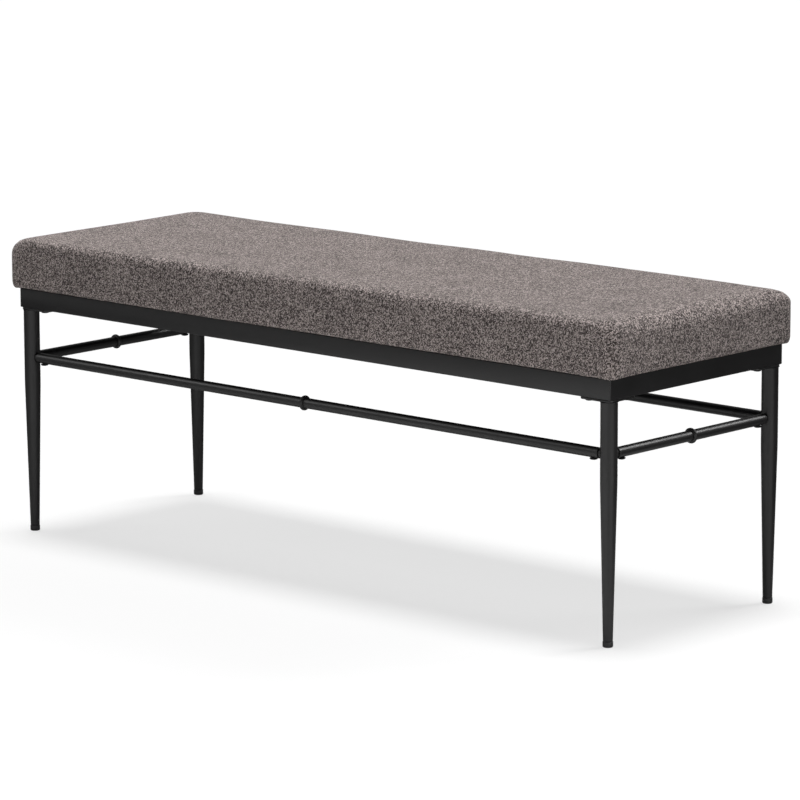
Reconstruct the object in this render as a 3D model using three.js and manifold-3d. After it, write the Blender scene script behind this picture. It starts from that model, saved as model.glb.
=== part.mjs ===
// Upholstered entryway bench: a soft seat on a welded rail frame, four bolted-on
// tapered legs, and four stretcher tubes that slide over spigots on the legs.
// Millimetres, +X along the bench, +Y to its back, +Z up, origin on the floor at the centre.

import * as THREE from "three";
import { ConvexGeometry } from "three/addons/geometries/ConvexGeometry.js";
import { mergeVertices } from "three/addons/utils/BufferGeometryUtils.js";
import Module from "manifold-3d";

// Driving dimensions.
const GAP = 0.3; // clearance kept between pieces that touch

const FRAME_LENGTH = 1208;
const FRAME_DEPTH = 394;
const FRAME_TOP = 390;
const FRAME_CORNER_R = 4;
const RAIL_HEIGHT = 30;
const RAIL_WIDTH = 20;
const TUBE_WALL = 1.5;

const LEG_DIA = 25;
const LEG_FOOT_DIA = 14.4;
const LEG_TAPER_HEIGHT = 242; // straight above this height, tapered below it

const PLATE_SIZE = 60;
const PLATE_THICKNESS = 3;
const PLATE_CORNER_R = 10;
const PLATE_BOLT_REACH = 34; // leg axis to bolt axis, along each rail

const GLIDE_DIA = 15.4;
const GLIDE_HEIGHT = 8.6;
const GLIDE_STEM_LENGTH = 16;

const STRETCHER_DIA = 16;
const STRETCHER_HEIGHT = 280;
const STRETCHER_SHOULDER = 3.5; // bare spigot between a leg and its tube
const SPIGOT_LENGTH = 26;
const SPIGOT_SCREW_REACH = 28; // leg axis to screw axis

const COLLAR_DIA = 23;
const COLLAR_WIDTH = 6;

const CROSS_BAR_X = 280;
const CROSS_BAR_WIDTH = 30;
const CROSS_BAR_THICKNESS = 4;
const SEAT_SCREW_Y = 110;

const SEAT_LENGTH = 1240;
const SEAT_DEPTH = 425;
const SEAT_TOP = 473;
const FABRIC = 1.5;
const DUST_COVER = 0.8;
const BOARD_THICKNESS = 15;
const BOARD_OVERHANG = 1; // board edge past the frame on every side
const FABRIC_HEM = 45; // fabric folded under the board

// Screws: shank and head sizes, and the clearance hole for the shank.
const PLATE_BOLT = { shankR: 3, headR: 6.2, headHeight: 2.2, length: 15, holeR: 3.4 };
const SPIGOT_SCREW = { shankR: 2.5, headR: 5.9, headHeight: 2.6, length: 10, holeR: 2.9 };
const SEAT_SCREW = { shankR: 3, headR: 7, headHeight: 3, length: 18, holeR: 3.4 };

// Where the pieces meet.
const FRAME_BOTTOM = FRAME_TOP - RAIL_HEIGHT;
const PLATE_TOP = FRAME_BOTTOM - GAP;
const PLATE_BOTTOM = PLATE_TOP - PLATE_THICKNESS;
const LEG_TOP = PLATE_BOTTOM - GAP;
const LEG_BOTTOM = GLIDE_HEIGHT + GAP;
const LEG_X = (FRAME_LENGTH - LEG_DIA) / 2;
const LEG_Y = (FRAME_DEPTH - LEG_DIA) / 2;
const DUST_COVER_BOTTOM = FRAME_TOP + GAP;
const SEAT_BOTTOM = DUST_COVER_BOTTOM + DUST_COVER + GAP;
const BOARD_BOTTOM = SEAT_BOTTOM + FABRIC + GAP;
const BOARD_LENGTH = FRAME_LENGTH + 2 * BOARD_OVERHANG;
const BOARD_DEPTH = FRAME_DEPTH + 2 * BOARD_OVERHANG;
const STRETCHER_END = LEG_DIA / 2 + STRETCHER_SHOULDER; // leg axis to tube end
const SPIGOT_R = STRETCHER_DIA / 2 - TUBE_WALL - GAP;

const ROUND = 20; // sides of the round pieces
const HOLE_ROUND = 12; // sides of screws and of their holes
const PAST = 5; // how far a cutter runs past what it cuts

const wasm = await Module();
wasm.setup();

const bench = new THREE.Group();

// Materials.
function finish(color, roughness, metalness) {
  return () => new THREE.MeshStandardMaterial({ color, roughness, metalness });
}

const blackSteel = finish(0x262627, 0.48, 0.35);
const blackScrew = finish(0x1b1b1c, 0.35, 0.7);
const blackNylon = finish(0x161616, 0.6, 0);
const woolGrey = finish(0x6f6662, 0.95, 0);
const creamFoam = finish(0xe8ddb8, 0.9, 0);
const plywood = finish(0xb98f5e, 0.7, 0);
const blackCloth = finish(0x1a1a1c, 0.95, 0);

function add(name, geometry, material, x = 0, y = 0, z = 0) {
  const mesh = new THREE.Mesh(geometry, material());
  mesh.name = name;
  mesh.position.set(x, y, z);
  bench.add(mesh);
  return mesh;
}

// Boolean cuts on closed geometries.
function solid(geometry) {
  const bare = geometry.clone();
  bare.deleteAttribute("normal");
  bare.deleteAttribute("uv");
  const merged = mergeVertices(bare, 1e-4);
  return new wasm.Manifold(
    new wasm.Mesh({
      numProp: 3,
      vertProperties: new Float32Array(merged.attributes.position.array),
      triVerts: new Uint32Array(merged.index.array),
    }),
  );
}

function geometryOf(body) {
  const mesh = body.getMesh();
  const geometry = new THREE.BufferGeometry();
  geometry.setAttribute("position", new THREE.BufferAttribute(mesh.vertProperties, 3));
  geometry.setIndex(new THREE.BufferAttribute(mesh.triVerts, 1));
  return geometry;
}

function cut(geometry, ...cutters) {
  const rest = cutters.reduce((body, c) => body.subtract(solid(c)), solid(geometry));
  return geometryOf(rest);
}

function overlapOf(a, b) {
  return geometryOf(solid(a).intersect(solid(b)));
}

// Plain shapes, placed by their centre or by the heights they span.
function block(length, depth, z0, z1, x = 0, y = 0) {
  return new THREE.BoxGeometry(length, depth, z1 - z0).translate(x, y, (z0 + z1) / 2);
}

function post(radius, z0, z1, x = 0, y = 0, sides = HOLE_ROUND) {
  return new THREE.CylinderGeometry(radius, radius, z1 - z0, sides)
    .rotateX(Math.PI / 2)
    .translate(x, y, (z0 + z1) / 2);
}

function turned(profile, sides = ROUND) {
  const points = profile.map(([radius, z]) => new THREE.Vector2(radius, z));
  return new THREE.LatheGeometry(points, sides).rotateX(Math.PI / 2);
}

function roundedRectangle(length, depth, radius) {
  const x = length / 2 - radius;
  const y = depth / 2 - radius;
  const outline = new THREE.Shape();
  outline.absarc(x, y, radius, 0, Math.PI / 2);
  outline.absarc(-x, y, radius, Math.PI / 2, Math.PI);
  outline.absarc(-x, -y, radius, Math.PI, 1.5 * Math.PI);
  outline.absarc(x, -y, radius, 1.5 * Math.PI, 2 * Math.PI);
  return outline;
}

function slab(length, depth, radius, z0, z1) {
  return new THREE.ExtrudeGeometry(roundedRectangle(length, depth, radius), {
    depth: z1 - z0,
    bevelEnabled: false,
    curveSegments: 4,
  }).translate(0, 0, z0);
}

// The four corners of the bench: where each leg stands, and its signs along X and Y.
const corners = [
  { name: "front_left", sx: -1, sy: -1 },
  { name: "front_right", sx: 1, sy: -1 },
  { name: "back_left", sx: -1, sy: 1 },
  { name: "back_right", sx: 1, sy: 1 },
].map((c) => ({ ...c, x: c.sx * LEG_X, y: c.sy * LEG_Y }));

// The plate bolts of a corner go up into the middle of the two rails that meet there.
function plateBoltPlaces({ sx, sy, x, y }) {
  return {
    long: [x - sx * PLATE_BOLT_REACH, sy * (FRAME_DEPTH - RAIL_WIDTH) / 2],
    side: [sx * (FRAME_LENGTH - RAIL_WIDTH) / 2, y - sy * PLATE_BOLT_REACH],
  };
}

// Frame: four rectangular tubes, mitred at the corners, welded and ground round.
function mitredRail(length, depth, innerLength, innerDepth) {
  const outline = new THREE.Shape([
    new THREE.Vector2(-length / 2 + GAP, -depth / 2),
    new THREE.Vector2(length / 2 - GAP, -depth / 2),
    new THREE.Vector2(innerLength / 2 - GAP, -innerDepth / 2),
    new THREE.Vector2(-innerLength / 2 + GAP, -innerDepth / 2),
  ]);
  const bar = new THREE.ExtrudeGeometry(outline, { depth: RAIL_HEIGHT, bevelEnabled: false })
    .translate(0, 0, FRAME_BOTTOM);
  const bore = block(
    length + PAST,
    RAIL_WIDTH - 2 * TUBE_WALL,
    FRAME_BOTTOM + TUBE_WALL,
    FRAME_TOP - TUBE_WALL,
    0,
    -(depth - RAIL_WIDTH) / 2,
  );
  return cut(bar, bore);
}

function railWithHoles(rail) {
  const ground = slab(FRAME_LENGTH, FRAME_DEPTH, FRAME_CORNER_R, FRAME_BOTTOM, FRAME_TOP);
  const holes = corners.flatMap((corner) =>
    Object.values(plateBoltPlaces(corner)).map(([x, y]) =>
      post(PLATE_BOLT.holeR, FRAME_BOTTOM - PAST, FRAME_BOTTOM + TUBE_WALL + 1, x, y),
    ),
  );
  return cut(overlapOf(rail, ground), ...holes);
}

function addFrame() {
  const insideLength = FRAME_LENGTH - 2 * RAIL_WIDTH;
  const insideDepth = FRAME_DEPTH - 2 * RAIL_WIDTH;
  const long = mitredRail(FRAME_LENGTH, FRAME_DEPTH, insideLength, insideDepth);
  const short = mitredRail(FRAME_DEPTH, FRAME_LENGTH, insideDepth, insideLength);
  add("front_rail", railWithHoles(long.clone()), blackSteel);
  add("back_rail", railWithHoles(long.clone().rotateZ(Math.PI)), blackSteel);
  add("right_rail", railWithHoles(short.clone().rotateZ(Math.PI / 2)), blackSteel);
  add("left_rail", railWithHoles(short.clone().rotateZ(-Math.PI / 2)), blackSteel);
}

// Cross bars: flat bars between the long rails, flush with their tops, for the seat screws.
function addCrossBars() {
  const length = FRAME_DEPTH - 2 * RAIL_WIDTH - 2 * GAP;
  for (const [name, x] of [["left", -CROSS_BAR_X], ["right", CROSS_BAR_X]]) {
    const bar = block(CROSS_BAR_WIDTH, length, FRAME_TOP - CROSS_BAR_THICKNESS, FRAME_TOP);
    const holes = [-SEAT_SCREW_Y, SEAT_SCREW_Y].map((y) =>
      post(SEAT_SCREW.holeR, FRAME_TOP - PAST - CROSS_BAR_THICKNESS, FRAME_TOP + PAST, 0, y),
    );
    add(`${name}_cross_bar`, cut(bar, ...holes), blackSteel, x);
  }
}

// A button-head screw: the head's flat side at height 0, the shank pointing up.
function screw({ shankR, headR, headHeight, length }) {
  return turned([
    [0, -headHeight],
    [headR * 0.55, -headHeight],
    [headR, -headHeight * 0.3],
    [headR, 0],
    [shankR, 0],
    [shankR, length],
    [0, length],
  ], HOLE_ROUND);
}

// Legs: 25 mm tube, swaged to a slim foot, with a plate welded on top.
function legTube() {
  const top = LEG_DIA / 2;
  const foot = LEG_FOOT_DIA / 2;
  return turned([
    [foot, LEG_BOTTOM],
    [top, LEG_TAPER_HEIGHT],
    [top, LEG_TOP],
    [top - TUBE_WALL, LEG_TOP],
    [top - TUBE_WALL, LEG_TAPER_HEIGHT],
    [foot - TUBE_WALL, LEG_BOTTOM],
    [foot, LEG_BOTTOM],
  ]);
}

function legPlate(corner) {
  const cornerX = corner.sx * (FRAME_LENGTH - PLATE_SIZE) / 2;
  const cornerY = corner.sy * (FRAME_DEPTH - PLATE_SIZE) / 2;
  const plate = slab(PLATE_SIZE, PLATE_SIZE, PLATE_CORNER_R, PLATE_BOTTOM, PLATE_TOP)
    .translate(cornerX, cornerY, 0);
  const holes = Object.values(plateBoltPlaces(corner)).map(([x, y]) =>
    post(PLATE_BOLT.holeR, PLATE_BOTTOM - PAST, PLATE_TOP + PAST, x, y),
  );
  return cut(plate, ...holes);
}

// Glide: a nylon foot with a stem pushed up into the open end of the leg.
function footGlide() {
  const radius = GLIDE_DIA / 2;
  const stem = LEG_FOOT_DIA / 2 - TUBE_WALL - GAP;
  return turned([
    [0, 0],
    [radius - 2, 0],
    [radius - 0.6, 0.6],
    [radius, 2],
    [radius, GLIDE_HEIGHT],
    [stem, GLIDE_HEIGHT],
    [stem, GLIDE_HEIGHT + GLIDE_STEM_LENGTH],
    [0, GLIDE_HEIGHT + GLIDE_STEM_LENGTH],
  ]);
}

function addLegs() {
  for (const corner of corners) {
    const { name, x, y } = corner;
    add(`${name}_leg`, legTube(), blackSteel, x, y);
    add(`${name}_leg_plate`, legPlate(corner), blackSteel);
    add(`${name}_foot_glide`, footGlide(), blackNylon, x, y);
    for (const [side, [boltX, boltY]] of Object.entries(plateBoltPlaces(corner))) {
      const bolt = screw(PLATE_BOLT);
      add(`${name}_plate_bolt_${side}`, bolt, blackScrew, boltX, boltY, PLATE_BOTTOM - GAP);
    }
  }
}

// Spigot: a pin welded on the leg, coped to the tube, with a cross hole for its screw.
// It is drawn pointing along +X from a leg axis at the origin.
function spigot() {
  const end = STRETCHER_END + SPIGOT_LENGTH;
  const pin = new THREE.CylinderGeometry(SPIGOT_R, SPIGOT_R, end, ROUND)
    .rotateZ(Math.PI / 2)
    .translate(end / 2, 0, 0);
  const leg = post(LEG_DIA / 2 + GAP, -LEG_DIA, LEG_DIA, 0, 0, 4 * ROUND);
  const hole = post(SPIGOT_SCREW.holeR, -LEG_DIA, SPIGOT_R / 2, SPIGOT_SCREW_REACH, 0);
  return cut(pin, leg, hole);
}

// Stretcher tube along X, centred, with a hole from below near each end.
function stretcherTube(span) {
  const length = span - 2 * STRETCHER_END;
  const radius = STRETCHER_DIA / 2;
  const tube = turned([
    [radius, -length / 2],
    [radius, length / 2],
    [radius - TUBE_WALL, length / 2],
    [radius - TUBE_WALL, -length / 2],
    [radius, -length / 2],
  ]).rotateY(Math.PI / 2);
  const screwX = span / 2 - SPIGOT_SCREW_REACH;
  const holes = [-screwX, screwX].map((x) =>
    post(SPIGOT_SCREW.holeR, -STRETCHER_DIA, 0, x, 0),
  );
  return cut(tube, ...holes);
}

// Collar: a bead-shaped ring round the middle of a stretcher.
function collar() {
  const bore = STRETCHER_DIA / 2 + GAP;
  const swell = COLLAR_DIA / 2 - bore;
  const bead = [];
  for (let i = 0; i <= 8; i += 1) {
    const turn = ((i - 4) / 8) * Math.PI;
    bead.push([bore + swell * Math.cos(turn), (COLLAR_WIDTH / 2) * Math.sin(turn)]);
  }
  bead.push(bead[0]);
  return turned(bead).rotateY(Math.PI / 2);
}

function addStretchers() {
  const longWays = [["front", -LEG_Y], ["back", LEG_Y]];
  const sideWays = [["left", -LEG_X], ["right", LEG_X]];
  for (const [name, y] of longWays) {
    add(`${name}_stretcher`, stretcherTube(2 * LEG_X), blackSteel, 0, y, STRETCHER_HEIGHT);
    add(`${name}_stretcher_collar`, collar(), blackSteel, 0, y, STRETCHER_HEIGHT);
  }
  for (const [name, x] of sideWays) {
    const tube = add(`${name}_stretcher`, stretcherTube(2 * LEG_Y), blackSteel, x, 0, STRETCHER_HEIGHT);
    const bead = add(`${name}_stretcher_collar`, collar(), blackSteel, x, 0, STRETCHER_HEIGHT);
    tube.rotation.z = Math.PI / 2;
    bead.rotation.z = Math.PI / 2;
  }
}

function addSpigots() {
  const screwTop = STRETCHER_HEIGHT - STRETCHER_DIA / 2 - GAP;
  for (const { name, sx, sy, x, y } of corners) {
    const longSpigot = add(`${name}_spigot_long`, spigot(), blackSteel, x, y, STRETCHER_HEIGHT);
    const sideSpigot = add(`${name}_spigot_side`, spigot(), blackSteel, x, y, STRETCHER_HEIGHT);
    longSpigot.rotation.z = sx > 0 ? Math.PI : 0;
    sideSpigot.rotation.z = (-sy * Math.PI) / 2;
    const longX = x - sx * SPIGOT_SCREW_REACH;
    const sideY = y - sy * SPIGOT_SCREW_REACH;
    add(`${name}_spigot_screw_long`, screw(SPIGOT_SCREW), blackScrew, longX, y, screwTop);
    add(`${name}_spigot_screw_side`, screw(SPIGOT_SCREW), blackScrew, x, sideY, screwTop);
  }
}

// Soft block: the hull of its four corner outlines, one for each step of the edge roll.
// The top edge rolls over further than the bottom edge. inset shrinks the whole block.
function softBlock(inset) {
  const cornerR = 28;
  const top = { across: 45, up: 24 };
  const bottom = { across: 13, up: 14 };
  const rolls = [];
  const steps = 5;
  for (let i = 0; i <= steps; i += 1) {
    const turn = ((i / steps) * Math.PI) / 2;
    const low = SEAT_BOTTOM + bottom.up * (1 - Math.cos(turn));
    rolls.push([bottom.across * (1 - Math.sin(turn)), low]);
    rolls.push([top.across * (1 - Math.sin(turn)), SEAT_TOP - top.up * (1 - Math.cos(turn))]);
  }
  const middle = (SEAT_TOP + SEAT_BOTTOM) / 2;
  const height = SEAT_TOP - SEAT_BOTTOM;
  const points = [];
  for (const [roll, z] of rolls) {
    const radius = Math.max(cornerR - roll, 4) - inset / 2;
    const x = SEAT_LENGTH / 2 - roll - inset - radius;
    const y = SEAT_DEPTH / 2 - roll - inset - radius;
    const squeezed = middle + (z - middle) * (1 - (2 * inset) / height);
    for (let j = 0; j <= 4; j += 1) {
      const turn = ((j / 4) * Math.PI) / 2;
      const px = x + radius * Math.cos(turn);
      const py = y + radius * Math.sin(turn);
      for (const [sx, sy] of [[1, 1], [-1, 1], [-1, -1], [1, -1]]) {
        points.push(new THREE.Vector3(sx * px, sy * py, squeezed));
      }
    }
  }
  return new ConvexGeometry(points);
}

// Seat: fabric cover folded under the board, foam that wraps the board's edges, and the board.
function addSeat() {
  const opening = slab(
    BOARD_LENGTH - 2 * FABRIC_HEM,
    BOARD_DEPTH - 2 * FABRIC_HEM,
    10,
    SEAT_BOTTOM - PAST,
    BOARD_BOTTOM,
  );
  add("seat_cover", cut(softBlock(0), softBlock(FABRIC), opening), woolGrey);

  const boardTop = BOARD_BOTTOM + BOARD_THICKNESS;
  const pocket = slab(
    BOARD_LENGTH + 2 * GAP,
    BOARD_DEPTH + 2 * GAP,
    18,
    SEAT_BOTTOM - PAST,
    boardTop + GAP,
  );
  add("foam_pad", cut(softBlock(FABRIC + GAP), pocket), creamFoam);

  const screwPlaces = corners.map(({ sx, sy }) => [sx * CROSS_BAR_X, sy * SEAT_SCREW_Y]);
  const pilots = screwPlaces.map(([x, y]) =>
    post(SEAT_SCREW.holeR, BOARD_BOTTOM - PAST, boardTop - 2, x, y),
  );
  const board = slab(BOARD_LENGTH, BOARD_DEPTH, 18, BOARD_BOTTOM, boardTop);
  add("seat_board", cut(board, ...pilots), plywood);

  const dustInset = 14;
  const dustTop = DUST_COVER_BOTTOM + DUST_COVER;
  const cloth = slab(
    FRAME_LENGTH - 2 * dustInset,
    FRAME_DEPTH - 2 * dustInset,
    8,
    DUST_COVER_BOTTOM,
    dustTop,
  );
  const pierced = screwPlaces.map(([x, y]) =>
    post(SEAT_SCREW.holeR, DUST_COVER_BOTTOM - PAST, dustTop + PAST, x, y),
  );
  add("dust_cover", cut(cloth, ...pierced), blackCloth);
}

function addSeatScrews() {
  const underBar = FRAME_TOP - CROSS_BAR_THICKNESS - GAP;
  for (const { name, sx, sy } of corners) {
    const [x, y] = [sx * CROSS_BAR_X, sy * SEAT_SCREW_Y];
    add(`${name}_seat_screw`, screw(SEAT_SCREW), blackScrew, x, y, underBar);
  }
}

addSeat();
addFrame();
addCrossBars();
addLegs();
addStretchers();
addSpigots();
addSeatScrews();

export default bench;
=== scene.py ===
import math

import bmesh
import bpy
from mathutils import Matrix, Vector, noise


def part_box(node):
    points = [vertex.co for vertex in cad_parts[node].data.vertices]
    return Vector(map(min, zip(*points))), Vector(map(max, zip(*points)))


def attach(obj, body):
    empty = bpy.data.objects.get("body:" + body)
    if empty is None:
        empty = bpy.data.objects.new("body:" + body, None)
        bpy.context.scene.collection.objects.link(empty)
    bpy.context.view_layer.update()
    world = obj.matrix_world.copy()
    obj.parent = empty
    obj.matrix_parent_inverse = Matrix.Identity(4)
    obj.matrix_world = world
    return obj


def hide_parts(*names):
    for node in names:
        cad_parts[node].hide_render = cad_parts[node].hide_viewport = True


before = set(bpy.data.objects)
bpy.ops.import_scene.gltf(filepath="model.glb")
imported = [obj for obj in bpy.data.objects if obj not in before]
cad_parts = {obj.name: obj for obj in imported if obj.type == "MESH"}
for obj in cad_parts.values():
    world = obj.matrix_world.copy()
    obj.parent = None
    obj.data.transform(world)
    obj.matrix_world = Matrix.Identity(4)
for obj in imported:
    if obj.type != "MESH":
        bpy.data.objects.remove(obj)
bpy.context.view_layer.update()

# ---------------------------------------------------------------------------------------
# Rail frame. Four lengths of 30 x 20 mm rectangular steel tube, mitred at the corners,
# welded into one rectangle, ground flush at the corners and powder coated satin black.
# It carries the seat board, and the legs bolt up into it.

RAIL_WIDTH = 0.020
RAIL_WALL = 0.0015
RAIL_EDGE_RADIUS = 0.0010
FRAME_CORNER_RADIUS = 0.0014
WELD_GAP = 0.0001
SHARP_EDGE = math.radians(32)
SQUARE_EDGE = 1.0  # an edge whose faces turn by more than this is one to round over


def make_group(name, inputs, outputs):
    """A shader node group with these (socket name, socket kind, default) inputs and outputs."""
    tree = bpy.data.node_groups.new(name, "ShaderNodeTree")
    for side, sockets in (("INPUT", inputs), ("OUTPUT", outputs)):
        for label, kind, default in sockets:
            socket = tree.interface.new_socket(label, in_out=side, socket_type="NodeSocket" + kind)
            if default is not None:
                socket.default_value = default
    return tree, tree.nodes.new("NodeGroupInput"), tree.nodes.new("NodeGroupOutput")


def add_node(tree, kind, inputs=None, **settings):
    """A node with its settings, and each of its inputs set to a value or linked to a socket."""
    node = tree.nodes.new(kind)
    for key, value in settings.items():
        setattr(node, key, value)
    for key, value in (inputs or {}).items():
        if isinstance(value, bpy.types.NodeSocket):
            tree.links.new(value, node.inputs[key])
        else:
            node.inputs[key].default_value = value
    return node


def math_node(tree, operation, *values):
    """One math step. Its values are numbers or sockets."""
    inputs = dict(enumerate(values))
    return add_node(tree, "ShaderNodeMath", inputs, operation=operation).outputs[0]


def make_coat_grain():
    """Powder coat: fine orange peel, soft cloudy gloss, and a dusting of slightly paler specks."""
    tree, given, out = make_group(
        "coat_grain",
        [("Colour", "Color", (0.02, 0.02, 0.02, 1)), ("Peel size", "Float", 900.0),
         ("Peel depth", "Float", 0.00006), ("Smooth", "Float", 0.38), ("Rough", "Float", 0.52)],
        [("Colour", "Color", None), ("Roughness", "Float", None), ("Normal", "Vector", None)],
    )
    place = add_node(tree, "ShaderNodeTexCoord").outputs["Object"]
    peel = add_node(tree, "ShaderNodeTexNoise",
                    {"Vector": place, "Scale": given.outputs["Peel size"], "Detail": 2.0})
    clouds = add_node(tree, "ShaderNodeTexNoise", {"Vector": place, "Scale": 14.0, "Detail": 3.0})
    rough = add_node(tree, "ShaderNodeMapRange",
                     {"Value": clouds.outputs["Fac"], "From Min": 0.3, "From Max": 0.7,
                      "To Min": given.outputs["Smooth"], "To Max": given.outputs["Rough"]})
    speck = add_node(tree, "ShaderNodeMapRange",
                     {"Value": peel.outputs["Fac"], "From Min": 0.52, "From Max": 0.75})
    strength = math_node(tree, "MULTIPLY", speck.outputs["Result"], 0.35)
    paler = add_node(tree, "ShaderNodeMix", data_type="RGBA", blend_type="ADD")
    tree.links.new(strength, paler.inputs["Factor"])
    tree.links.new(given.outputs["Colour"], paler.inputs["A"])
    tree.links.new(given.outputs["Colour"], paler.inputs["B"])
    bump = add_node(tree, "ShaderNodeBump",
                    {"Height": peel.outputs["Fac"], "Distance": given.outputs["Peel depth"],
                     "Strength": 0.6})
    tree.links.new(paler.outputs["Result"], out.inputs["Colour"])
    tree.links.new(rough.outputs["Result"], out.inputs["Roughness"])
    tree.links.new(bump.outputs["Normal"], out.inputs["Normal"])
    return tree


def coated(name, colour, metallic=0.0, specular=0.5, **values):
    """A material whose surface comes from the powder coat group."""
    material = bpy.data.materials.new(name)
    material.use_nodes = True
    tree = material.node_tree
    shader = tree.nodes["Principled BSDF"]
    grain = add_node(tree, "ShaderNodeGroup", node_tree=coat_grain)
    grain.inputs["Colour"].default_value = (*colour, 1)
    for key, value in values.items():
        grain.inputs[key.replace("_", " ").capitalize()].default_value = value
    shader.inputs["Metallic"].default_value = metallic
    shader.inputs["Specular IOR Level"].default_value = specular
    tree.links.new(grain.outputs["Colour"], shader.inputs["Base Color"])
    tree.links.new(grain.outputs["Roughness"], shader.inputs["Roughness"])
    tree.links.new(grain.outputs["Normal"], shader.inputs["Normal"])
    return material


coat_grain = make_coat_grain()
black_steel = coated("black_powder_coat", (0.0055, 0.0052, 0.0054), specular=0.50, Smooth=0.34,
                     Rough=0.44)


def piece(name, bm, material, slot, *nodes):
    """Makes a finished bmesh a piece on the frame, standing for these CAD nodes."""
    bmesh.ops.remove_doubles(bm, verts=bm.verts, dist=1e-6)
    bmesh.ops.recalc_face_normals(bm, faces=bm.faces)
    for face in bm.faces:
        face.smooth = True
    for edge in bm.edges:
        edge.smooth = edge.calc_face_angle(0) < SHARP_EDGE
    mesh = bpy.data.meshes.new(name)
    bm.to_mesh(mesh)
    bm.free()
    mesh.materials.append(material)
    made = bpy.data.objects.new(name, mesh)
    bpy.context.scene.collection.objects.link(made)
    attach(made, "root")
    if nodes:
        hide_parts(*nodes)
    return made


def block(low, high):
    """A bmesh box between two corners."""
    bm = bmesh.new()
    bmesh.ops.create_cube(bm, size=1)
    low, high = Vector(low), Vector(high)
    bmesh.ops.scale(bm, vec=high - low, verts=bm.verts)
    bmesh.ops.translate(bm, vec=(low + high) / 2, verts=bm.verts)
    return bm


def runs_along(edge, axis):
    """True if the edge runs along one axis only."""
    step = edge.verts[1].co - edge.verts[0].co
    return abs(step[axis]) > 0.999 * step.length


def bevel(bm, edges, radius, segments):
    """Rounds these edges over."""
    bmesh.ops.bevel(bm, geom=list(edges), offset=radius, offset_type="OFFSET", segments=segments,
                    profile=0.5, affect="EDGES", material=-1)


def ring(low, high, width):
    """A closed rectangular ring of this width, lying flat between two heights."""
    bm = block(low, high)
    flat = [face for face in bm.faces if abs(face.normal.z) > 0.9]
    bmesh.ops.delete(bm, geom=flat, context="FACES_ONLY")
    inside = bm.copy()
    squeeze = (1 - 2 * width / (high[0] - low[0]), 1 - 2 * width / (high[1] - low[1]), 1)
    bmesh.ops.scale(inside, vec=squeeze, verts=inside.verts)
    wall = bpy.data.meshes.new("wall")
    inside.to_mesh(wall)
    inside.free()
    bm.from_mesh(wall)
    bpy.data.meshes.remove(wall)
    for height in (low[2], high[2]):
        rim = [edge for edge in bm.edges
               if all(abs(vert.co.z - height) < 1e-7 for vert in edge.verts)]
        bmesh.ops.bridge_loops(bm, edges=rim)
    bmesh.ops.recalc_face_normals(bm, faces=bm.faces)
    return bm


def frame_shells():
    """The frame's outer skin with its rounded corners and edges, and the bore inside it."""
    low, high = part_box("front_rail")[0].copy(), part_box("back_rail")[1].copy()
    low.x, high.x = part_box("left_rail")[0].x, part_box("right_rail")[1].x
    bm = ring(low, high, RAIL_WIDTH)
    outer_uprights = [edge for edge in bm.edges if runs_along(edge, 2)
                      and abs(edge.verts[0].co.x) > high.x - RAIL_WIDTH / 2]
    bevel(bm, outer_uprights, FRAME_CORNER_RADIUS, 5)
    rims = [edge for edge in bm.edges if not edge.is_boundary
            and abs(edge.verts[0].co.z - edge.verts[1].co.z) < 1e-7
            and edge.calc_face_angle(0) > SQUARE_EDGE]
    bevel(bm, rims, RAIL_EDGE_RADIUS, 3)
    wall = Vector((RAIL_WALL,) * 3)
    bore = ring(low + wall, high - wall, RAIL_WIDTH - 2 * RAIL_WALL)
    inner = bpy.data.meshes.new("bore")
    bore.to_mesh(inner)
    bore.free()
    bm.from_mesh(inner)
    bpy.data.meshes.remove(inner)
    return bm, low, high


def mitred_rail(shells, low, high, towards):
    """One rail: the part of the frame on that side, cut square across at the far side and
    at 45 degrees through the two corners, with each cut end of the tube closed."""
    bm = shells.copy()
    bmesh.ops.bisect_plane(bm, geom=bm.verts[:] + bm.edges[:] + bm.faces[:],
                           plane_co=(0, 0, 0), plane_no=-towards, clear_outer=True)
    across = Vector((-towards.y, towards.x, 0))
    for side in (-1, 1):
        corner = Vector((high.x if (towards + side * across).x > 0 else low.x,
                         high.y if (towards + side * across).y > 0 else low.y, 0))
        outward = (side * across - towards).normalized()
        bmesh.ops.bisect_plane(bm, geom=bm.verts[:] + bm.edges[:] + bm.faces[:],
                               plane_co=corner - outward * WELD_GAP, plane_no=outward,
                               clear_outer=True)
        cut = [edge for edge in bm.edges if edge.is_boundary
               and edge.verts[0].co.dot(across) * side > 0]
        bmesh.ops.bridge_loops(bm, edges=cut)
    return bm


shells, frame_low, frame_high = frame_shells()
for name, towards in (("front", (0, -1, 0)), ("back", (0, 1, 0)),
                      ("left", (-1, 0, 0)), ("right", (1, 0, 0))):
    rail = mitred_rail(shells, frame_low, frame_high, Vector(towards))
    piece(f"{name}_rail_tube", rail, black_steel, "black_steel", f"{name}_rail")
shells.free()

# ---------------------------------------------------------------------------------------
# Cross bars. Two flat steel bars welded between the long rails, flush with their tops,
# each drilled for two seat screws. Same powder coat.

BAR_EDGE_RADIUS = 0.0006

for name in ("left", "right"):
    bar = block(*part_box(f"{name}_cross_bar"))
    bevel(bar, [edge for edge in bar.edges if runs_along(edge, 1)], BAR_EDGE_RADIUS, 2)
    piece(f"{name}_flat_bar", bar, black_steel, "black_steel", f"{name}_cross_bar")

# ---------------------------------------------------------------------------------------
# Leg plates. 60 x 60 x 3 mm steel plates welded on the legs, with rounded corners and
# broken edges. Two bolts go up through each plate into the rails above it.

PLATE_CORNER_RADIUS = 0.010
PLATE_EDGE_RADIUS = 0.0005
CORNERS = ("front_left", "front_right", "back_left", "back_right")

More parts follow.
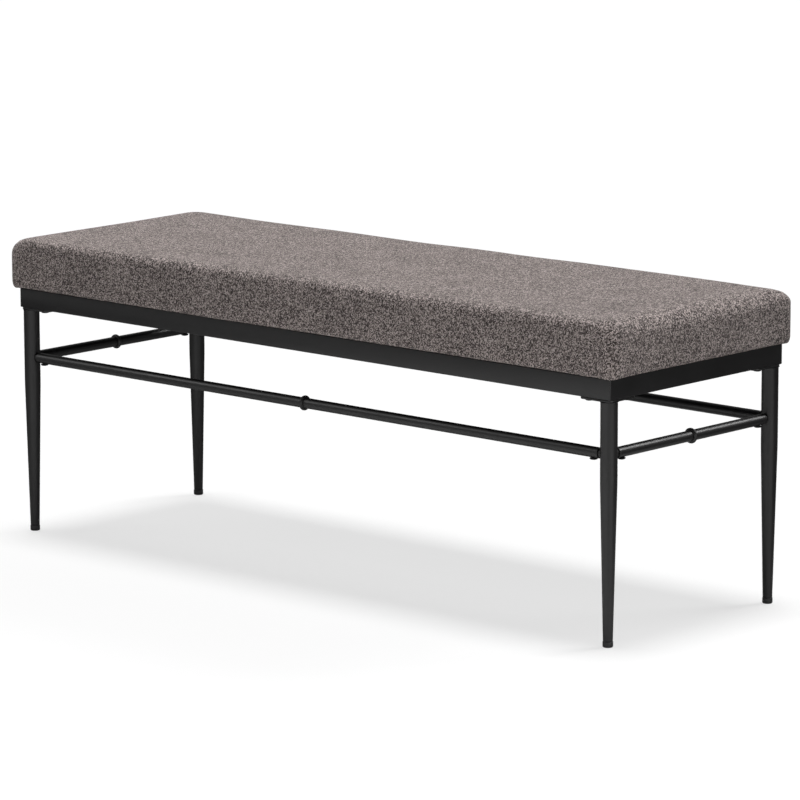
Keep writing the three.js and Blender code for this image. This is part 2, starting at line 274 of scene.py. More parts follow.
for corner in CORNERS:
    plate = block(*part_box(f"{corner}_leg_plate"))
    bevel(plate, [edge for edge in plate.edges if runs_along(edge, 2)], PLATE_CORNER_RADIUS, 8)
    bevel(plate, [edge for edge in plate.edges if edge.calc_face_angle(0) > SQUARE_EDGE],
          PLATE_EDGE_RADIUS, 2)
    piece(f"{corner}_bolt_plate", plate, black_steel, "black_steel", f"{corner}_leg_plate")

# ---------------------------------------------------------------------------------------
# Legs. 25 mm steel tube, straight at the top and swaged to a slim foot, with a fillet
# weld where the tube meets its plate. Powder coated with the plate as one part.

LEG_TAPER_HEIGHT = 0.242
TAPER_EASE = (0.00008, 0.006)  # across, up: the taper starts softly
LEG_WALL = 0.0015
FOOT_RADIUS = 0.0072
FOOT_LIP = 0.0004
WELD_SIZE = 0.0014


def middle(low, high):
    """The middle of a box."""
    return (low + high) / 2


def turned(profile, centre, axis="Z", steps=56, closed=False):
    """A profile of (radius, height) points spun round an axis through the centre."""
    bm = bmesh.new()
    verts = [bm.verts.new((radius, 0, height)) for radius, height in profile]
    edges = [bm.edges.new(pair) for pair in zip(verts, verts[1:])]
    if closed:
        edges.append(bm.edges.new((verts[-1], verts[0])))
    bmesh.ops.spin(bm, geom=verts + edges, axis=(0, 0, 1), cent=(0, 0, 0), angle=2 * math.pi,
                   steps=steps, use_merge=True)
    bmesh.ops.remove_doubles(bm, verts=bm.verts, dist=1e-6)
    turn = {"X": Matrix.Rotation(math.pi / 2, 4, "Y"), "Z": Matrix.Identity(4),
            "Y": Matrix.Rotation(-math.pi / 2, 4, "X")}[axis]
    bm.transform(Matrix.Translation(centre) @ turn)
    return bm


def arc(centre, radius, start, end, steps):
    """Points on an arc, from start to end in degrees. radius is one number or (across, up)."""
    across, up = radius if isinstance(radius, tuple) else (radius, radius)
    turns = [math.radians(start + (end - start) * step / steps) for step in range(steps + 1)]
    return [(centre[0] + across * math.cos(t), centre[1] + up * math.sin(t)) for t in turns]


for corner in CORNERS:
    low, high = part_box(f"{corner}_leg")
    radius = (high.x - low.x) / 2
    profile = [
        (FOOT_RADIUS - FOOT_LIP, low.z), (FOOT_RADIUS, low.z + FOOT_LIP),
        (radius - TAPER_EASE[0], LEG_TAPER_HEIGHT - TAPER_EASE[1]),
        (radius, LEG_TAPER_HEIGHT + TAPER_EASE[1]),
        *arc((radius + WELD_SIZE, high.z - WELD_SIZE), WELD_SIZE, 180, 90, 4),
        (radius - LEG_WALL, high.z),
        (radius - LEG_WALL, LEG_TAPER_HEIGHT), (FOOT_RADIUS - LEG_WALL, low.z),
    ]
    centre = middle(low, high)
    leg = turned(profile, (centre.x, centre.y, 0), closed=True)
    piece(f"{corner}_leg_tube", leg, black_steel, "black_steel", f"{corner}_leg")

# ---------------------------------------------------------------------------------------
# Foot glides. Moulded black nylon feet, a little wider than the leg's end, with a stem
# that pushes up into the tube. They are ribbed on the stem and rounded where they rest.

GLIDE_GAP = 0.0003
GLIDE_BASE_ROUND = 0.002
GLIDE_TOP_ROUND = 0.0006
STEM_RIBS = 4
RIB_DEPTH = 0.0006

black_nylon = coated("black_nylon", (0.012, 0.012, 0.0125), Peel_size=1600.0,
                     Peel_depth=0.00003, Smooth=0.45, Rough=0.58)

for corner in CORNERS:
    low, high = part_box(f"{corner}_foot_glide")
    radius = (high.x - low.x) / 2
    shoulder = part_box(f"{corner}_leg")[0].z - GLIDE_GAP
    stem = FOOT_RADIUS - LEG_WALL - GLIDE_GAP
    base, top = GLIDE_BASE_ROUND, GLIDE_TOP_ROUND
    profile = [(0, low.z), *arc((radius - base, base), base, -90, 0, 5)]
    profile += [*arc((radius - top, shoulder - top), top, 0, 90, 3), (stem, shoulder)]
    pitch = (high.z - shoulder - 0.002) / STEM_RIBS
    for rib in range(STEM_RIBS):
        start = shoulder + rib * pitch
        profile += [(stem - RIB_DEPTH, start + 0.2 * pitch), (stem, start + 0.9 * pitch)]
    profile += [(stem - 0.001, high.z), (0, high.z)]
    centre = middle(low, high)
    glide = turned(profile, (centre.x, centre.y, 0), steps=40)
    piece(f"{corner}_glide", glide, black_nylon, "black_nylon", f"{corner}_foot_glide")

# ---------------------------------------------------------------------------------------
# Screws. Black-oxide button-head socket screws: two up through each leg plate into the
# rail, one up through each stretcher end into its spigot, four up into the seat board.

SOCKET_SHARE = 0.42
SCREW_SIDES = 36
SCREW_KINDS = {  # head height, shank radius
    "plate_bolt": (0.0022, 0.003), "spigot_screw": (0.0026, 0.0025), "seat_screw": (0.003, 0.003),
}

black_oxide = coated("black_oxide", (0.016, 0.016, 0.017), metallic=0.85, Peel_size=2500.0,
                     Peel_depth=0.00002, Smooth=0.30, Rough=0.42)


def hexagonal(vert, centre, across):
    """Moves a vertex of a round hole out to a hexagon's side."""
    offset = vert.co - centre
    turn = math.atan2(offset.y, offset.x) % (math.pi / 3) - math.pi / 6
    reach = across / math.cos(turn) / Vector((offset.x, offset.y)).length
    vert.co.x = centre.x + offset.x * reach
    vert.co.y = centre.y + offset.y * reach


def socket_screw(low, high, head_height, shank_radius):
    """A screw pointing up, its domed head below with a hexagon socket in it."""
    head = (high.x - low.x) / 2
    under = low.z + head_height
    socket = head * SOCKET_SHARE
    deep = 0.65 * head_height
    profile = [(0, high.z), (shank_radius * 0.8, high.z), (shank_radius, high.z - 0.001),
               (shank_radius, under), (head - 0.0003, under), (head, under - 0.0003)]
    profile += arc((head * 0.55, low.z + head_height * 0.7), (head * 0.45, head_height * 0.7),
                   0, -80, 6)
    profile += [(socket * 1.06, low.z), (socket, low.z + 0.0001), (socket, low.z + deep),
                (0, low.z + deep * 1.1)]
    centre = middle(low, high)
    bm = turned(profile, (centre.x, centre.y, 0), steps=SCREW_SIDES)
    for vert in bm.verts:
        reach = Vector((vert.co.x - centre.x, vert.co.y - centre.y)).length
        if abs(reach - socket) < 1e-5 and vert.co.z < under:
            hexagonal(vert, centre, socket * 0.9)
    return bm


for kind, (head_height, shank_radius) in SCREW_KINDS.items():
    for corner in CORNERS:
        for side in ("",) if kind == "seat_screw" else ("_long", "_side"):
            node = f"{corner}_{kind}{side}"
            screw = socket_screw(*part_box(node), head_height, shank_radius)
            piece(f"{node}_socket_head", screw, black_oxide, "black_screw", node)

# ---------------------------------------------------------------------------------------
# Spigots. Short steel pins welded on the legs, one towards each neighbour. The stretcher
# tubes slide over them and stop a few millimetres short, so a dark neck shows.

SPIGOT_CHAMFER = 0.0008

for corner in CORNERS:
    for side, axis in (("long", 0), ("side", 1)):
        node = f"{corner}_spigot_{side}"
        low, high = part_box(node)
        radius = (high.z - low.z) / 2
        half = (high[axis] - low[axis]) / 2
        profile = [(0, -half), (radius - SPIGOT_CHAMFER, -half), (radius, -half + SPIGOT_CHAMFER),
                   (radius, half - SPIGOT_CHAMFER), (radius - SPIGOT_CHAMFER, half), (0, half)]
        pin = turned(profile, middle(low, high), axis="XY"[axis], steps=36)
        piece(f"{node}_pin", pin, black_steel, "black_steel", node)

# ---------------------------------------------------------------------------------------
# Stretchers. 16 mm round steel tubes between the legs, two long and two short, with
# rolled lips at their ends. A bead-shaped steel collar sits at the middle of each one.

TUBE_WALL = 0.0015
TUBE_LIP = 0.0005
COLLAR_FIT = 0.0002
COLLAR_RIM = 0.0006

for name, axis in (("front", 0), ("back", 0), ("left", 1), ("right", 1)):
    low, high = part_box(f"{name}_stretcher")
    radius = (high.z - low.z) / 2
    half = (high[axis] - low[axis]) / 2
    profile = [
        (radius, -half + TUBE_LIP), (radius, half - TUBE_LIP), (radius - TUBE_LIP, half),
        (radius - TUBE_WALL, half), (radius - TUBE_WALL, -half), (radius - TUBE_LIP, -half),
    ]
    tube = turned(profile, middle(low, high), axis="XY"[axis], steps=48, closed=True)
    piece(f"{name}_stretcher_tube", tube, black_steel, "black_steel", f"{name}_stretcher")

    low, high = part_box(f"{name}_stretcher_collar")
    outer = (high.z - low.z) / 2
    half = (high[axis] - low[axis]) / 2
    bore = radius + COLLAR_FIT
    rim = bore + COLLAR_RIM
    profile = [(bore, -half), (rim, -half)]
    profile += arc((rim, 0), (outer - rim, half * 0.92), -86, 86, 12)
    profile += [(rim, half), (bore, half)]
    bead = turned(profile, middle(low, high), axis="XY"[axis], steps=64, closed=True)
    piece(f"{name}_collar_bead", bead, black_steel, "black_steel", f"{name}_stretcher_collar")

# ---------------------------------------------------------------------------------------
# Seat board. 15 mm plywood with rounded corners, drilled from below for the seat screws.
# The foam sits on it, and the cover is pulled round it and stapled underneath.

BOARD_CORNER_RADIUS = 0.018
PLY = 0.003


def make_plywood():
    """Pale birch faces with long grain, and darker glue lines between the plies."""
    material = bpy.data.materials.new("raw_plywood")
    material.use_nodes = True
    tree = material.node_tree
    shader = tree.nodes["Principled BSDF"]
    place = add_node(tree, "ShaderNodeTexCoord").outputs["Object"]
    stretched = add_node(tree, "ShaderNodeMapping", {"Vector": place, "Scale": (3, 60, 60)})
    grain = add_node(tree, "ShaderNodeTexNoise",
                     {"Vector": stretched.outputs["Vector"], "Scale": 2.0, "Detail": 6.0,
                      "Distortion": 0.6})
    height = add_node(tree, "ShaderNodeSeparateXYZ", {"Vector": place}).outputs["Z"]
    ply = math_node(tree, "FRACT", math_node(tree, "MULTIPLY", height, 1 / PLY))
    glue = math_node(tree, "LESS_THAN", ply, 0.12)
    wood = add_node(tree, "ShaderNodeValToRGB", {"Fac": grain.outputs["Fac"]})
    wood.color_ramp.elements[0].color = (0.30, 0.17, 0.08, 1)
    wood.color_ramp.elements[0].position = 0.32
    wood.color_ramp.elements[1].color = (0.56, 0.39, 0.22, 1)
    wood.color_ramp.elements[1].position = 0.68
    edge = add_node(tree, "ShaderNodeMix", data_type="RGBA")
    tree.links.new(math_node(tree, "MULTIPLY", glue, 0.7), edge.inputs["Factor"])
    tree.links.new(wood.outputs["Color"], edge.inputs["A"])
    edge.inputs["B"].default_value = (0.10, 0.05, 0.025, 1)
    bump = add_node(tree, "ShaderNodeBump",
                    {"Height": grain.outputs["Fac"], "Distance": 0.0002, "Strength": 0.5})
    tree.links.new(edge.outputs["Result"], shader.inputs["Base Color"])
    tree.links.new(bump.outputs["Normal"], shader.inputs["Normal"])
    shader.inputs["Roughness"].default_value = 0.72
    return material


board_low, board_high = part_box("seat_board")
board = block(board_low, board_high)
bevel(board, [edge for edge in board.edges if runs_along(edge, 2)], BOARD_CORNER_RADIUS, 8)
piece("plywood_seat_board", board, make_plywood(), "plywood", "seat_board")

# ---------------------------------------------------------------------------------------
# Foam pad. One block of cream upholstery foam with a pocket cut in its underside for the
# board, so that it wraps the board's edges. The cover squeezes it in by a few millimetres.

FOAM_SQUEEZE = 0.006
FOAM_TOP_ROLL = (0.040, 0.022)
FOAM_BASE_ROLL = 0.003
FOAM_CORNER_RADIUS = 0.028
POCKET_GAP = 0.0005


def make_foam():
    """Open-cell foam: pale, porous, with a little yellowing."""
    material = bpy.data.materials.new("cream_foam")
    material.use_nodes = True
    tree = material.node_tree
    shader = tree.nodes["Principled BSDF"]
    place = add_node(tree, "ShaderNodeTexCoord").outputs["Object"]
    cells = add_node(tree, "ShaderNodeTexVoronoi", {"Vector": place, "Scale": 700.0})
    age = add_node(tree, "ShaderNodeTexNoise", {"Vector": place, "Scale": 6.0})
    tint = add_node(tree, "ShaderNodeValToRGB", {"Fac": age.outputs["Fac"]})
    tint.color_ramp.elements[0].color = (0.70, 0.58, 0.33, 1)
    tint.color_ramp.elements[1].color = (0.85, 0.77, 0.54, 1)
    bump = add_node(tree, "ShaderNodeBump",
                    {"Height": cells.outputs["Distance"], "Distance": 0.0006, "Strength": 0.8})
    tree.links.new(tint.outputs["Color"], shader.inputs["Base Color"])
    tree.links.new(bump.outputs["Normal"], shader.inputs["Normal"])
    shader.inputs["Roughness"].default_value = 0.95
    return material


def rounded_outline(low, high, height, left, right, front, back, radius, steps=6):
    """A bmesh of one flat face: the plan of a box, drawn in at its sides, with round corners."""
    bm = block(low + Vector((left, front, 0)), high - Vector((right, back, 0)))
    bevel(bm, [edge for edge in bm.edges if runs_along(edge, 2)], radius, steps)
    lid = max(bm.faces, key=lambda face: face.calc_center_median().z)
    bmesh.ops.delete(bm, geom=[face for face in bm.faces if face != lid], context="FACES")
    for vert in bm.verts:
        vert.co.z = height
    return bm


def soft_block(low, high, levels, radius):
    """A closed block with round corners, whose outline is drawn in at each level. A level is
    (height, left, right, front, back): how far each side is drawn in there."""
    bm = bmesh.new()
    for level in levels:
        outline = rounded_outline(low, high, *level, radius)
        plan = bpy.data.meshes.new("outline")
        outline.to_mesh(plan)
        outline.free()
        bm.from_mesh(plan)
        bpy.data.meshes.remove(plan)
    faces = bm.faces[:]
    for below, above in zip(faces, faces[1:]):
        bmesh.ops.bridge_loops(bm, edges=list(below.edges) + list(above.edges))
    bmesh.ops.delete(bm, geom=faces[1:-1], context="FACES_ONLY")
    bmesh.ops.recalc_face_normals(bm, faces=bm.faces)
    return bm


def rolled_in(height, start, roll):
    """How far a side has drawn in at this height, where it rolls over from start by
    (across, up)."""
    rise = min(max((height - start) / roll[1], 0), 1)
    return roll[0] * (1 - math.sqrt(1 - rise * rise))


foam_low, foam_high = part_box("foam_pad")
squeeze = Vector((FOAM_SQUEEZE,) * 3)
foam_base, foam_top = foam_low.z + FOAM_SQUEEZE, foam_high.z - FOAM_SQUEEZE
levels = [(foam_base, *[FOAM_BASE_ROLL] * 4), (foam_base + FOAM_BASE_ROLL, 0, 0, 0, 0)]
for step in range(1, 9):
    height = foam_top - FOAM_TOP_ROLL[1] * (1 - step / 8)
    levels.append((height, *[rolled_in(height, foam_top - FOAM_TOP_ROLL[1], FOAM_TOP_ROLL)] * 4))
foam = soft_block(foam_low + squeeze, foam_high - squeeze, levels, FOAM_CORNER_RADIUS)
underside = min(foam.faces, key=lambda face: face.calc_center_median().z)
rim = foam_high.x - FOAM_SQUEEZE - FOAM_BASE_ROLL - board_high.x - POCKET_GAP
bmesh.ops.inset_individual(foam, faces=[underside], thickness=rim)
pocket = bmesh.ops.extrude_discrete_faces(foam, faces=[underside])["faces"][0]
bmesh.ops.translate(foam, vec=(0, 0, board_high.z + POCKET_GAP - pocket.verts[0].co.z),
                    verts=pocket.verts)
piece("foam_block", foam, make_foam(), "seat_foam", "foam_pad")

# ---------------------------------------------------------------------------------------
# Seat cover. Heathered brown-grey woven upholstery cloth, pulled over the foam, rolled
# under the bottom edge and stapled to the board. It is pulled tighter over the front edge
# than over the ends and the back, and has no piping and no visible seams.

YARN_PITCH = 0.0015
VOXEL = 0.004
COVER_CORNER_RADIUS = 0.018
STAPLED_BAND = 0.0015  # the cloth this far up from the underside is held
PUFF_PRESSURE = 12
PUFF_STEPS = 20
SETTLE = 0.003
FULLER_RIGHT = 0.7
CORNER_FOLD = 0.030
CORNER_HANG = 0.005
BACK_FOLD = 0.060
BACK_FOLD_HEIGHT = 0.464
BACK_FOLD_RISE = 0.016
BACK_FOLD_REACH = 0.0045
BASE_ROLL = (0.009, 0.010)  # across, up
SOFT_ROLL = (0.045, 0.024)
TIGHT_EDGES = [  # height, right, front
    (0.448, 0.0000, 0.0000), (0.454, 0.0006, 0.0001), (0.460, 0.0024, 0.0003),
    (0.464, 0.0045, 0.0005), (0.467, 0.0070, 0.0009), (0.4695, 0.0102, 0.0022),
    (0.4711, 0.0138, 0.0046), (0.4718, 0.0172, 0.0084), (0.4722, 0.0220, 0.0160),
    (0.4727, 0.0340, 0.0290), (0.473, 0.0550, 0.0450),
]


def make_melange():
    """Plain weave of two-tone yarns, mottled over a few yarns and clouded over a hand's
    width. Its place is the cloth's own UV map, in metres."""
    tree, given, out = make_group(
        "melange_weave",
        [("Place", "Vector", None), ("Yarns per metre", "Float", 600.0),
         ("Fleck", "Float", 0.6), ("Mottle", "Float", 0.3)],
        [("Tone", "Float", None), ("Height", "Float", None)],
    )
    yarns = add_node(tree, "ShaderNodeVectorMath",
                     {0: given.outputs["Place"], "Scale": given.outputs["Yarns per metre"]},
                     operation="SCALE")
    wander = add_node(tree, "ShaderNodeTexNoise",
                      {"Vector": yarns.outputs[0], "Scale": 0.3, "Detail": 1.0})
    shift = add_node(tree, "ShaderNodeVectorMath",
                     {0: wander.outputs["Color"], 1: (0.5, 0.5, 0.5)}, operation="SUBTRACT")
    bent = add_node(tree, "ShaderNodeVectorMath",
                    {0: shift.outputs[0], 1: (0.8, 0.8, 0.8), 2: yarns.outputs[0]},
                    operation="MULTIPLY_ADD")
    split = add_node(tree, "ShaderNodeSeparateXYZ", {"Vector": bent.outputs[0]})
    across, along = split.outputs["X"], split.outputs["Y"]
    warp, weft = math_node(tree, "FLOOR", across), math_node(tree, "FLOOR", along)
    over = math_node(tree, "FLOORED_MODULO", math_node(tree, "ADD", warp, weft), 2.0)
    cell = add_node(tree, "ShaderNodeCombineXYZ", {"X": warp, "Y": weft}).outputs[0]
    fleck = add_node(tree, "ShaderNodeTexWhiteNoise", {"Vector": cell}).outputs["Value"]
    mottle = add_node(tree, "ShaderNodeTexNoise",
                      {"Vector": yarns.outputs[0], "Scale": 0.22, "Detail": 2.0}).outputs["Fac"]
    clouds = add_node(tree, "ShaderNodeTexNoise",
                      {"Vector": given.outputs["Place"], "Scale": 14.0, "Detail": 3.0})

    def hump(value):
        centred = math_node(tree, "MULTIPLY_ADD", math_node(tree, "FRACT", value), 2.0, -1.0)
        return math_node(tree, "SUBTRACT", 1.0, math_node(tree, "MULTIPLY", centred, centred))

    def yarn_height(round_side, long_side):
        return math_node(tree, "MULTIPLY", round_side,
                         math_node(tree, "MULTIPLY_ADD", long_side, 0.6, 0.4))

    def spread(value, amount):
        return math_node(tree, "MULTIPLY", math_node(tree, "SUBTRACT", value, 0.5), amount)

    across_hump, along_hump = hump(across), hump(along)
    height = add_node(tree, "ShaderNodeMix",
                      {"Factor": over, "A": yarn_height(across_hump, along_hump),
                       "B": yarn_height(along_hump, across_hump)}, data_type="FLOAT")
    flecked = math_node(tree, "ADD", spread(fleck, given.outputs["Fleck"]),
                        spread(mottle, given.outputs["Mottle"]))
    clouded = math_node(tree, "ADD", flecked, spread(clouds.outputs["Fac"], 0.22))
    tone = math_node(tree, "ADD", clouded, 0.5)
    tree.links.new(tone, out.inputs["Tone"])
    tree.links.new(height.outputs["Result"], out.inputs["Height"])
    return tree


def make_upholstery():
    """The melange weave, from dark brown-grey to pale grey, with sunk gaps between yarns that are
    bumped in and darkened by painted shade.
    """
    material = bpy.data.materials.new("heathered_upholstery")
    material.use_nodes = True
    tree = material.node_tree
    shader = tree.nodes["Principled BSDF"]
    place = add_node(tree, "ShaderNodeUVMap", uv_map="cloth").outputs["UV"]
    weave = add_node(tree, "ShaderNodeGroup", node_tree=melange_weave)
    tree.links.new(place, weave.inputs["Place"])
    weave.inputs["Yarns per metre"].default_value = 1 / YARN_PITCH
    weave.inputs["Fleck"].default_value = 0.8
    weave.inputs["Mottle"].default_value = 0.5
    yarn = add_node(tree, "ShaderNodeValToRGB", {"Fac": weave.outputs["Tone"]})
    ramp = yarn.color_ramp
    ramp.elements[0].position, ramp.elements[0].color = 0.15, (0.030, 0.024, 0.023, 1)
    ramp.elements[1].position, ramp.elements[1].color = 0.85, (0.55, 0.475, 0.45, 1)
    ramp.elements.new(0.5).color = (0.165, 0.137, 0.131, 1)
    # painted shade: the yarn colour is darkened, down to a fifth, in the low gaps between yarns
    painted_gap_shade = add_node(tree, "ShaderNodeMapRange",
                    {"Value": weave.outputs["Height"], "From Max": 0.6, "To Min": 0.2})
    shaded = add_node(tree, "ShaderNodeVectorMath",
                      {0: yarn.outputs["Color"], "Scale": painted_gap_shade.outputs["Result"]},
                      operation="SCALE")
    bump = add_node(tree, "ShaderNodeBump",
                    {"Height": weave.outputs["Height"], "Distance": 0.0005, "Strength": 0.7})
    tree.links.new(shaded.outputs[0], shader.inputs["Base Color"])
    tree.links.new(bump.outputs["Normal"], shader.inputs["Normal"])
    shader.inputs["Roughness"].default_value = 0.92
    shader.inputs["Specular IOR Level"].default_value = 0.2
    shader.inputs["Sheen Weight"].default_value = 0.15
    shader.inputs["Sheen Roughness"].default_value = 0.5
    shader.inputs["Sheen Tint"].default_value = (0.9, 0.86, 0.83, 1)
    return material


def apply_modifiers(target):
    """Bakes the object's modifiers into its mesh."""
    bpy.context.view_layer.update()
    graph = bpy.context.evaluated_depsgraph_get()
    finished = bpy.data.meshes.new_from_object(target.evaluated_get(graph), depsgraph=graph)
    target.modifiers.clear()
    target.data = finished


def puff(target, floor):
    """Blows the pad up as cloth, held where it is stapled. The foam lets it out by SETTLE or
    so, more in some places than others and most on the right of the top, and keeps it from
    going in."""
    start = [(vert.co.copy(), vert.normal.copy()) for vert in target.data.vertices]
    held = target.vertex_groups.new(name="stapled")
    low_ones = [vert.index for vert in target.data.vertices if vert.co.z < floor + STAPLED_BAND]
    held.add(low_ones, 1.0, "REPLACE")
    cloth = target.modifiers.new("cloth", "CLOTH")
    cloth.settings.vertex_group_mass = "stapled"
    cloth.settings.use_pressure = True
    cloth.settings.uniform_pressure_force = PUFF_PRESSURE
    cloth.settings.shrink_min = -0.015
    cloth.settings.effector_weights.gravity = 0
    cloth.settings.quality = 4
    cloth.point_cache.frame_start, cloth.point_cache.frame_end = 1, PUFF_STEPS
    for step in range(1, PUFF_STEPS + 1):
        bpy.context.scene.frame_set(step)
    apply_modifiers(target)
    target.vertex_groups.clear()
    bpy.context.scene.frame_set(1)
    for vert, (was, outward) in zip(target.data.vertices, start):
        if was.z < floor + STAPLED_BAND:
            continue
        moved = vert.co - was
        out = moved.dot(outward)
        sideways = moved - outward * out
        upwards = max(outward.z, 0) * min(max(was.x / 0.4, -0.55), 0.6)
        give = SETTLE * (0.85 + 0.45 * noise.noise(was * 6) + FULLER_RIGHT * upwards)
        sideways *= min(1, 0.001 / max(sideways.length, 1e-9))
        vert.co = was + outward * min(max(out, 0.5 * give), give) + sideways


def shape_corners(target, low, high):
    """The folds inside a corner fill it out: it hangs a little lower at the bottom, and at the
    back right it stands out just under the top."""
    for vert in target.data.vertices:
        co = vert.co
        away = Vector((high.x - abs(co.x), high.y - abs(co.y))).length
        hang = max(1 - away / CORNER_FOLD, 0) * max(1 - (co.z - low.z) / CORNER_FOLD, 0)
        co.z -= CORNER_HANG * hang
        if co.x > 0 and co.y > 0:
            rise = abs(co.z - BACK_FOLD_HEIGHT)
            reach = max(1 - away / BACK_FOLD, 0) * max(1 - rise / BACK_FOLD_RISE, 0)
            co.x += BACK_FOLD_REACH * reach
            co.y += BACK_FOLD_REACH * reach


def smooth(target, floor):
    """Evens out the pad's surface, all but its flat underside."""
    bm = bmesh.new()
    bm.from_mesh(target.data)
    loose = [vert for vert in bm.verts if vert.co.z > floor + 0.001]
    bmesh.ops.smooth_vert(bm, verts=loose, factor=0.35, use_axis_x=True, use_axis_y=True,
                          use_axis_z=True)
    for face in bm.faces:
        face.smooth = True
    bm.to_mesh(target.data)
    bm.free()


def lay_cloth(target, low, high):
    """Lays the cloth's UV map, in metres: over the top, and on down each side."""
    mesh = target.data
    layer = mesh.uv_layers.new(name="cloth")
    for face in mesh.polygons:
        facing = face.normal
        drop = max(range(3), key=lambda axis: abs(facing[axis]))
        for index in face.loop_indices:
            co = mesh.vertices[mesh.loops[index].vertex_index].co
            u, v = co.x, co.y
            if drop == 0:
                u = math.copysign(high.x + high.z - co.z, facing.x)
            elif drop == 1:
                v = math.copysign(high.y + high.z - co.z, facing.y)
            layer.data[index].uv = (u, v)


melange_weave = make_melange()
cover_low, cover_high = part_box("seat_cover")
levels = []
for step in range(7):
    turn = math.radians(15 * step)
    levels.append((cover_low.z + BASE_ROLL[1] * (1 - math.cos(turn)),
                   *[BASE_ROLL[0] * (1 - math.sin(turn))] * 4))
for height, right, front in TIGHT_EDGES:
    soft = rolled_in(height, cover_high.z - SOFT_ROLL[1], SOFT_ROLL)
    levels.append((height - SETTLE * 0.7, soft, right, front, soft))
settle = Vector((SETTLE, SETTLE, 0))
pad = soft_block(cover_low + settle, cover_high - settle, levels, COVER_CORNER_RADIUS)
cover = piece("upholstered_seat_cover", pad, make_upholstery(), "seat_fabric", "seat_cover")
remesh = cover.modifiers.new("even_mesh", "REMESH")
remesh.mode, remesh.voxel_size = "VOXEL", VOXEL
apply_modifiers(cover)
puff(cover, cover_low.z)
shape_corners(cover, cover_low, cover_high)
smooth(cover, cover_low.z)
lay_cloth(cover, cover_low, cover_high)

# ---------------------------------------------------------------------------------------
# Dust cover. Thin black non-woven cloth, laid flat over the underside of the seat and
# stapled to the board along its edges.

black_cloth = coated("black_dust_cloth", (0.013, 0.013, 0.014), specular=0.1, Peel_size=1200.0,
                     Peel_depth=0.0002, Smooth=0.85, Rough=0.97)
cloth_low, cloth_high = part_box("dust_cover")
cloth = block(cloth_low, cloth_high)
dust = piece("dust_cloth", cloth, black_cloth, "black_cloth", "dust_cover")

# ---------------------------------------------------------------------------------------
# Studio: a pale floor, broad soft lights from overhead and behind, low soft panels in front
# and at the right, a high one at the left, and a white surround. The camera looks from the
# front right, a little above the seat.

AZIMUTH, ELEVATION, ROLL = math.radians(42.267), math.radians(10.706), math.radians(-0.148)
CAMERA_PLACE = (4.8213, -5.2774, 1.6096)
LENS = 214.6
FLOOR_GLOW = 0.635
FLOOR_SHADE = 0.26
PAINTED_POOL_BOUNCE = (0.62, 0.06)  # floor shade for bounced light: a painted pool of light in front of the bench, and darker outside it
PAINTED_POOL_CENTRE = (0.3, -0.95, 0)
PAINTED_POOL_EDGE = (0.6, 1.7)


def make_floor():
    """A pale floor, which glows a little to the eye, and lights the bench only from in front,
    through a pool of light painted into the shade it gives to bounced light.
    """
    bm = bmesh.new()
    bmesh.ops.create_grid(bm, x_segments=1, y_segments=1, size=30)
    mesh = bpy.data.meshes.new("studio_floor")
    bm.to_mesh(mesh)
    bm.free()
    floor = bpy.data.objects.new("studio_floor", mesh)
    bpy.context.scene.collection.objects.link(floor)
    material = bpy.data.materials.new("studio_floor")
    material.use_nodes = True
    tree = material.node_tree
    shader = tree.nodes["Principled BSDF"]
    shader.inputs["Roughness"].default_value = 1.0
    shader.inputs["Specular IOR Level"].default_value = 0.0
    seen = add_node(tree, "ShaderNodeLightPath").outputs["Is Camera Ray"]
    place = add_node(tree, "ShaderNodeTexCoord").outputs["Object"]
    away = add_node(tree, "ShaderNodeVectorMath", {0: place, 1: PAINTED_POOL_CENTRE},
                    operation="DISTANCE")
    # painted pool of light: the floor's shade for bounced light is bright near the bench front and
    # fades with distance
    painted_pool_shade = add_node(tree, "ShaderNodeMapRange",
                      {"Value": away.outputs["Value"],
                       "From Min": PAINTED_POOL_EDGE[0], "From Max": PAINTED_POOL_EDGE[1],
                       "To Min": PAINTED_POOL_BOUNCE[0], "To Max": PAINTED_POOL_BOUNCE[1]})
    shade = add_node(tree, "ShaderNodeMix",
                     {"Factor": seen, "A": painted_pool_shade.outputs["Result"], "B": FLOOR_SHADE},
                     data_type="FLOAT")
    glow = math_node(tree, "MULTIPLY", seen, FLOOR_GLOW)
    tree.links.new(shade.outputs["Result"], shader.inputs["Base Color"])
    tree.links.new(glow, shader.inputs["Emission Strength"])
    shader.inputs["Emission Color"].default_value = (1, 1, 1, 1)
    mesh.materials.append(material)


def make_light(name, strength, spread, heading):
    """A soft light that comes from far off along its heading, the same all over the floor."""
    data = bpy.data.lights.new(name, "SUN")
    data.energy, data.angle = strength, math.radians(spread)
    light = bpy.data.objects.new(name, data)
    light.rotation_mode = "QUATERNION"
    light.rotation_quaternion = Vector(heading).to_track_quat("-Z", "Y")
    bpy.context.scene.collection.objects.link(light)


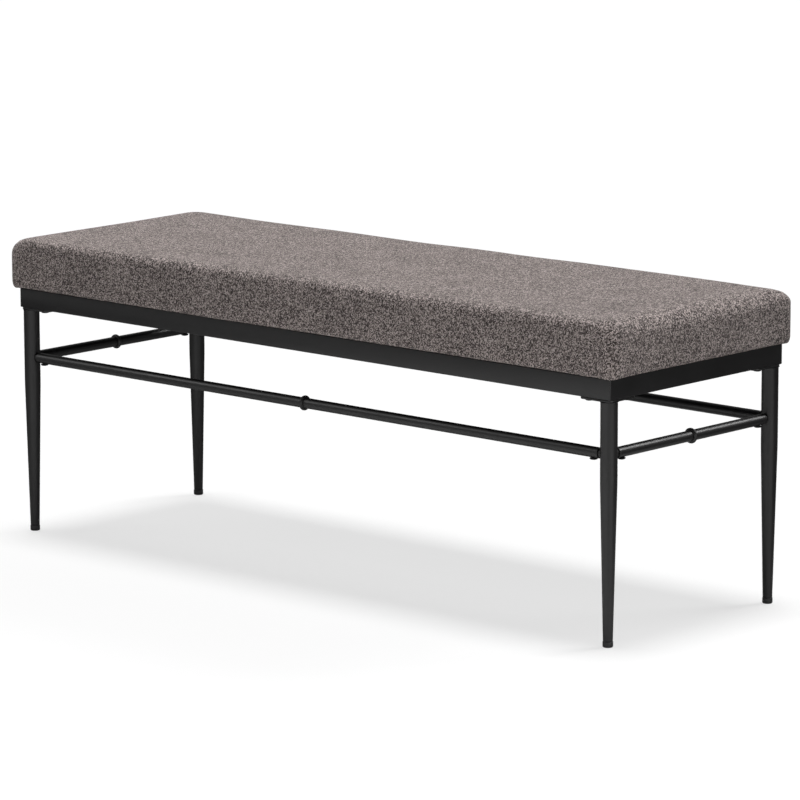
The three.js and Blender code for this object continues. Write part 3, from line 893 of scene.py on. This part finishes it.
def make_panel(name, place, target, size, radiance):
    """A soft panel of this radiance (the same as a surround's strength), facing the target."""
    data = bpy.data.lights.new(name, "AREA")
    data.shape, data.size, data.size_y = "RECTANGLE", *size
    data.energy = radiance * math.pi * size[0] * size[1]
    light = bpy.data.objects.new(name, data)
    light.location = place
    light.rotation_mode = "QUATERNION"
    light.rotation_quaternion = (Vector(target) - Vector(place)).to_track_quat("-Z", "Y")
    light.visible_camera = False
    bpy.context.scene.collection.objects.link(light)


def make_surround(cast):
    """A white surround, which lights the bench more dimly than it looks."""
    world = bpy.data.worlds.new("white_surround")
    world.use_nodes = True
    tree = world.node_tree
    seen = add_node(tree, "ShaderNodeLightPath").outputs["Is Camera Ray"]
    strength = add_node(tree, "ShaderNodeMix", {"Factor": seen, "A": cast, "B": 1.0},
                        data_type="FLOAT")
    tree.links.new(strength.outputs["Result"], tree.nodes["Background"].inputs["Strength"])
    tree.nodes["Background"].inputs["Color"].default_value = (1, 1, 1, 1)
    bpy.context.scene.world = world


def make_camera():
    """The camera, aimed by its azimuth, elevation and roll."""
    data = bpy.data.cameras.new("camera")
    data.lens, data.sensor_width = LENS, 36
    data.clip_end = 100
    camera = bpy.data.objects.new("camera", data)
    back = Vector((math.sin(AZIMUTH) * math.cos(ELEVATION),
                   -math.cos(AZIMUTH) * math.cos(ELEVATION), math.sin(ELEVATION)))
    camera.location = CAMERA_PLACE
    camera.rotation_mode = "QUATERNION"
    roll = Matrix.Rotation(ROLL, 3, "Z").to_quaternion()
    camera.rotation_quaternion = (-back).to_track_quat("-Z", "Y") @ roll
    bpy.context.scene.collection.objects.link(camera)
    bpy.context.scene.camera = camera


make_floor()
make_light("overhead", 3.1, 18, (0.05, -0.06, -1))
make_light("back", 1.3, 22, (-0.30, -0.73, -0.62))
make_panel("front", (0.5, -1.9, 0.30), (0.3, 0, 0.34), (2.1, 0.6), 1.0)
make_panel("front_left", (-2.0, -1.9, 0.20), (-0.6, 0, 0.34), (1.8, 0.5), 0.55)
make_panel("right", (2.1, -0.45, 0.36), (0.4, 0, 0.34), (1.4, 0.7), 2.3)
make_panel("left", (-2.3, -1.7, 2.0), (0, 0, 0.3), (1.2, 1.2), 3.2)
make_surround(0.2)
make_camera()
bpy.context.scene.view_settings.view_transform = "Standard"
